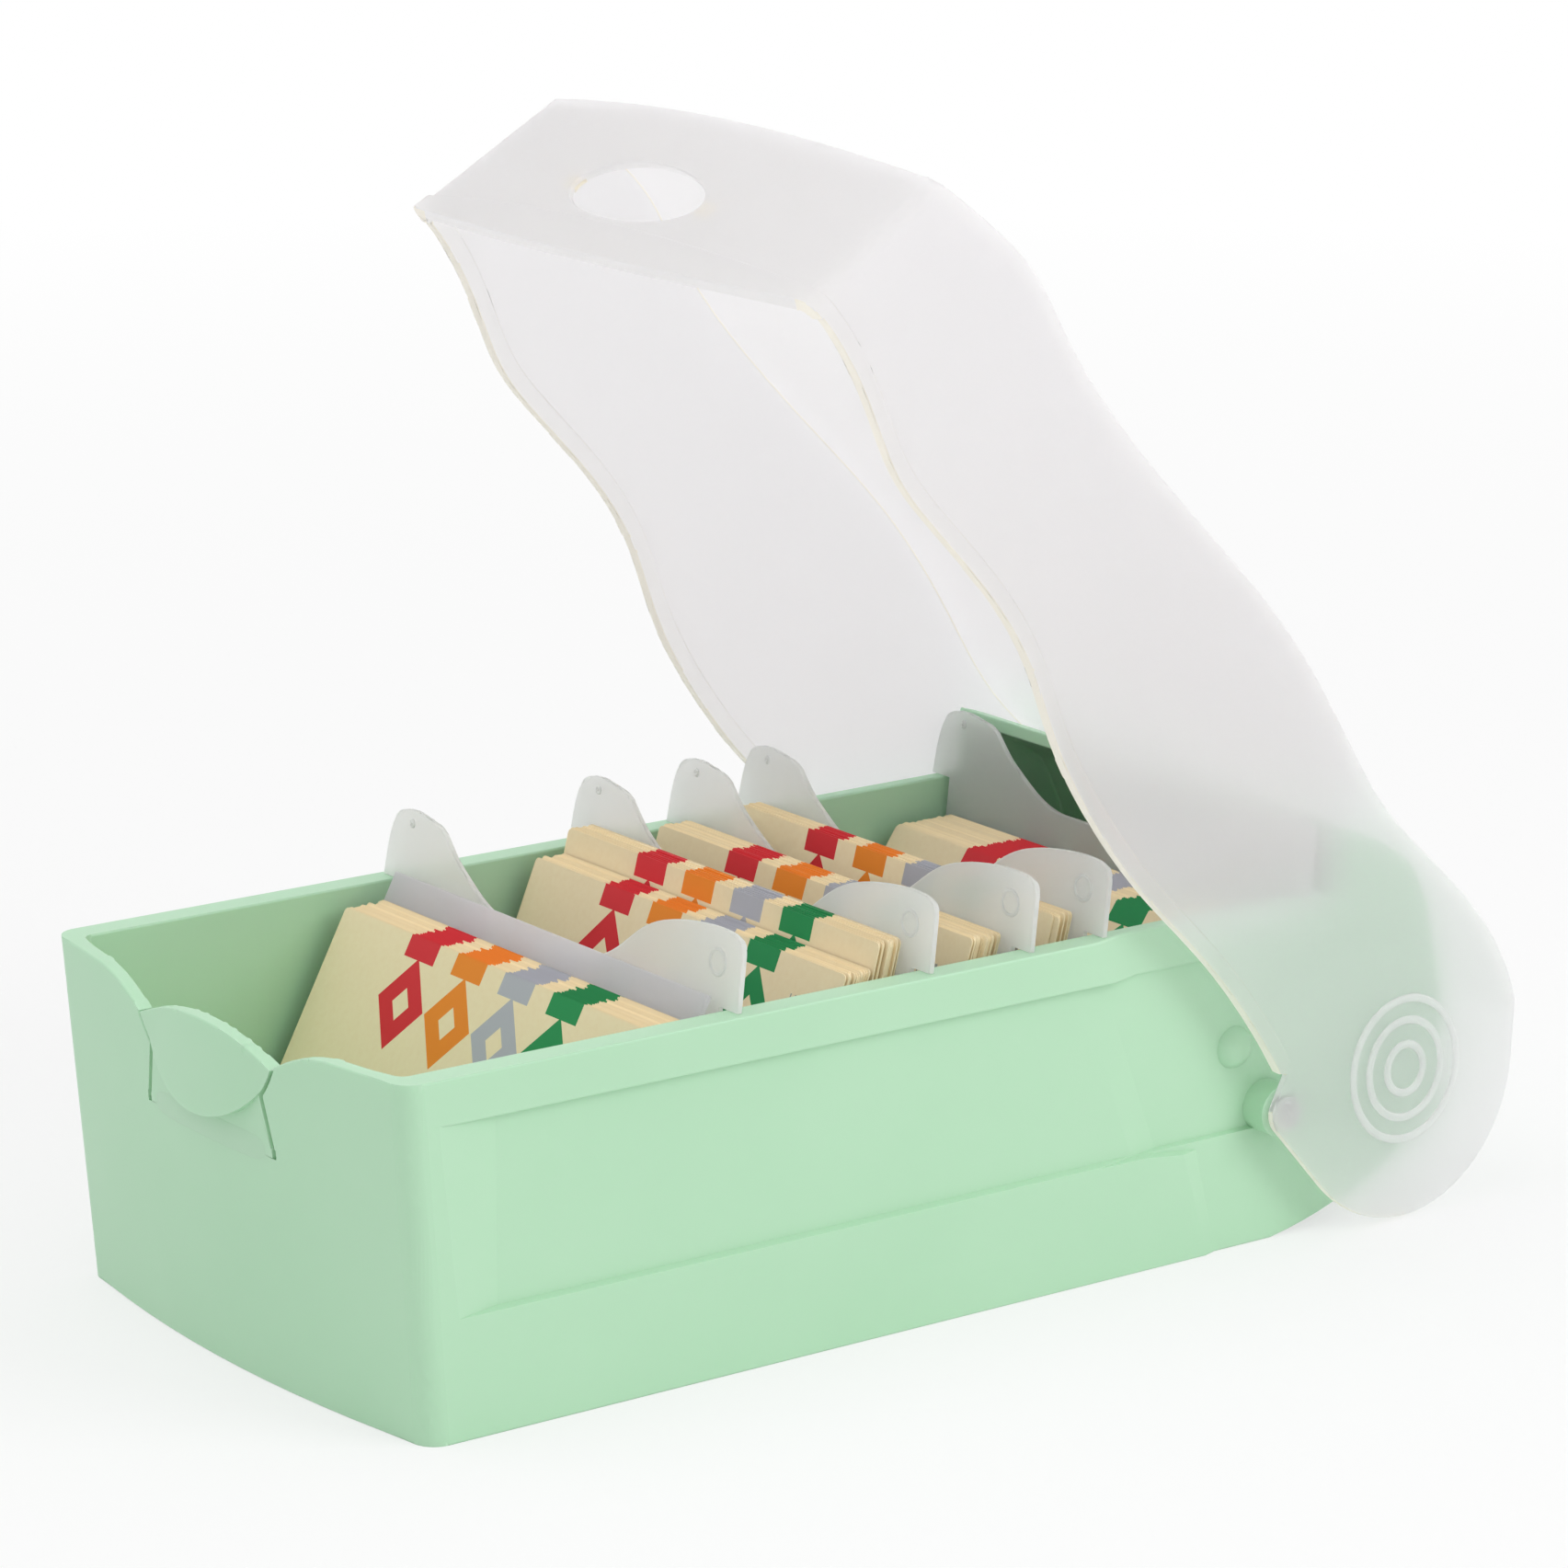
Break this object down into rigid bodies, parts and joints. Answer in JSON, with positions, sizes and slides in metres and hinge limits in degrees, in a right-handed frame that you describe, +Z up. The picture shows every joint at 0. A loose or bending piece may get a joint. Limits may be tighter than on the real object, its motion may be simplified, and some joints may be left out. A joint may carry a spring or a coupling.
{
  "type": "card box with hinged lid",
  "caption": "Small desk box for index cards: open moulded tray, translucent hinged lid with wavy edges and a press latch, loose divider plates and packs of cards.",
  "frame": {"origin": "centre of the tray's flat underside, on the surface that it rests on", "axes": "+X across the tray, +Y from its front to the hinged rear, +Z up"},
  "size_m": [0.0958, 0.1975, 0.162],
  "materials": {
    "tray_plastic": "moulded polypropylene, soft gloss",
    "lid_plastic": "translucent frosted polypropylene",
    "divider_plastic": "translucent frosted polypropylene",
    "support_plastic": "translucent frosted polypropylene",
    "card_stock": "uncoated printed card"
  },
  "bodies": {
    "tray": {"tray": "tray_plastic"},
    "latch": {"latch_tongue": "tray_plastic"},
    "lid": {"lid": "lid_plastic"},
    "divider_1": {"divider_1": "divider_plastic"},
    "divider_2": {"divider_2": "divider_plastic"},
    "divider_3": {"divider_3": "divider_plastic"},
    "divider_4": {"divider_4": "divider_plastic"},
    "divider_5": {"divider_5": "divider_plastic"},
    "front_pack": {"support_plate": "support_plastic", "cards_1": "card_stock"},
    "second_pack": {"cards_2_low": "card_stock", "cards_2_raised": "card_stock"},
    "third_pack": {"cards_3": "card_stock"},
    "fourth_pack": {"cards_4": "card_stock"},
    "fifth_pack": {"cards_5": "card_stock"}
  },
  "joints": [
    {"name": "lid_hinge", "type": "hinge", "parent": "tray", "child": "lid", "pos_m": [0, 0.0708, 0.0202], "axis": [-1, 0, 0], "range_deg": [-50, 0]},
    {"name": "latch_press", "type": "hinge", "parent": "tray", "child": "latch", "pos_m": [0, -0.07786, 0.0342], "axis": [-1, 0, 0], "range_deg": [0, 5], "stiffness_Nm_per_rad": 0.5},
    {"name": "divider_1_lift", "type": "slide", "parent": "tray", "child": "divider_1", "axis": [0, 0.1045, 0.9945], "range_m": [0, 0.06]},
    {"name": "divider_2_lift", "type": "slide", "parent": "tray", "child": "divider_2", "axis": [0, 0.1045, 0.9945], "range_m": [0, 0.06]},
    {"name": "divider_3_lift", "type": "slide", "parent": "tray", "child": "divider_3", "axis": [0, 0.1045, 0.9945], "range_m": [0, 0.06]},
    {"name": "divider_4_lift", "type": "slide", "parent": "tray", "child": "divider_4", "axis": [0, 0.1045, 0.9945], "range_m": [0, 0.05]},
    {"name": "divider_5_lift", "type": "slide", "parent": "tray", "child": "divider_5", "axis": [0, 0.1045, 0.9945], "range_m": [0, 0.01]},
    {"name": "front_pack_lift", "type": "slide", "parent": "tray", "child": "front_pack", "axis": [0, 0.1045, 0.9945], "range_m": [0, 0.06]},
    {"name": "second_pack_lift", "type": "slide", "parent": "tray", "child": "second_pack", "axis": [0, 0.1045, 0.9945], "range_m": [0, 0.06]},
    {"name": "third_pack_lift", "type": "slide", "parent": "tray", "child": "third_pack", "axis": [0, 0.1045, 0.9945], "range_m": [0, 0.06]},
    {"name": "fourth_pack_lift", "type": "slide", "parent": "tray", "child": "fourth_pack", "axis": [0, 0.1045, 0.9945], "range_m": [0, 0.052]},
    {"name": "fifth_pack_lift", "type": "slide", "parent": "tray", "child": "fifth_pack", "axis": [0, 0.1045, 0.9945], "range_m": [0, 0.026]}
  ]
}
